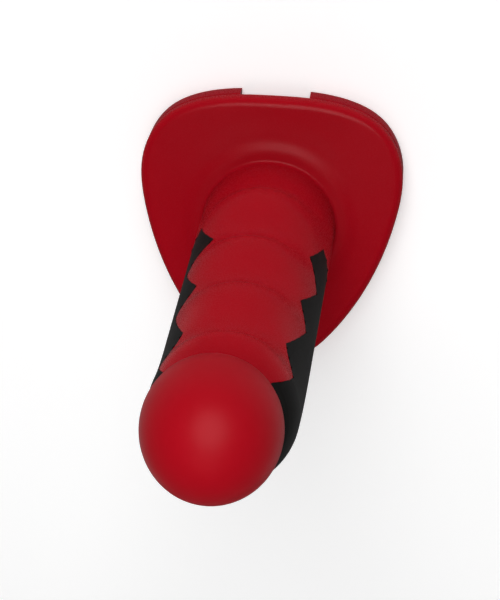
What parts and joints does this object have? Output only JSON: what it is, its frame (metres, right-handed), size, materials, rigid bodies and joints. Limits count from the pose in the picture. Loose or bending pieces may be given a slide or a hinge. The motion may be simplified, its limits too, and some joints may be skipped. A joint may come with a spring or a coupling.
{
  "type": "flared-base silicone dildo",
  "caption": "Ribbed silicone shaft with a rounded head, a flared harness base, a conductive panel on each side and a notch for plug-in leads.",
  "frame": {"origin": "on the shaft's axis, at the flat rear face of the base", "axes": "+Z from the rear face along the shaft to the tip; -Y towards the ribbed side and the socket notch, +Y towards the base's pointed end; X across"},
  "size_m": [0.0802, 0.0889, 0.1834],
  "materials": {
    "red_silicone": "matte velvety silicone",
    "red_silicone_pad": "matte velvety silicone",
    "black_silicone": "matte conductive silicone",
    "core_plastic": "matte",
    "carrier_plastic": "matte",
    "plated_contact": "bright plated",
    "lead_cover": "smooth insulation",
    "sleeve": "heat-shrink sleeve"
  },
  "bodies": {
    "root": {"silicone_body": "red_silicone", "rear_pad": "red_silicone_pad", "shaft_core": "core_plastic", "socket_carrier": "carrier_plastic", "left_electrode": "black_silicone", "left_socket": "plated_contact", "left_lead": "lead_cover", "left_contact_pin": "plated_contact", "left_solder_sleeve": "sleeve", "right_electrode": "black_silicone", "right_socket": "plated_contact", "right_lead": "lead_cover", "right_contact_pin": "plated_contact", "right_solder_sleeve": "sleeve"}
  },
  "joints": []
}
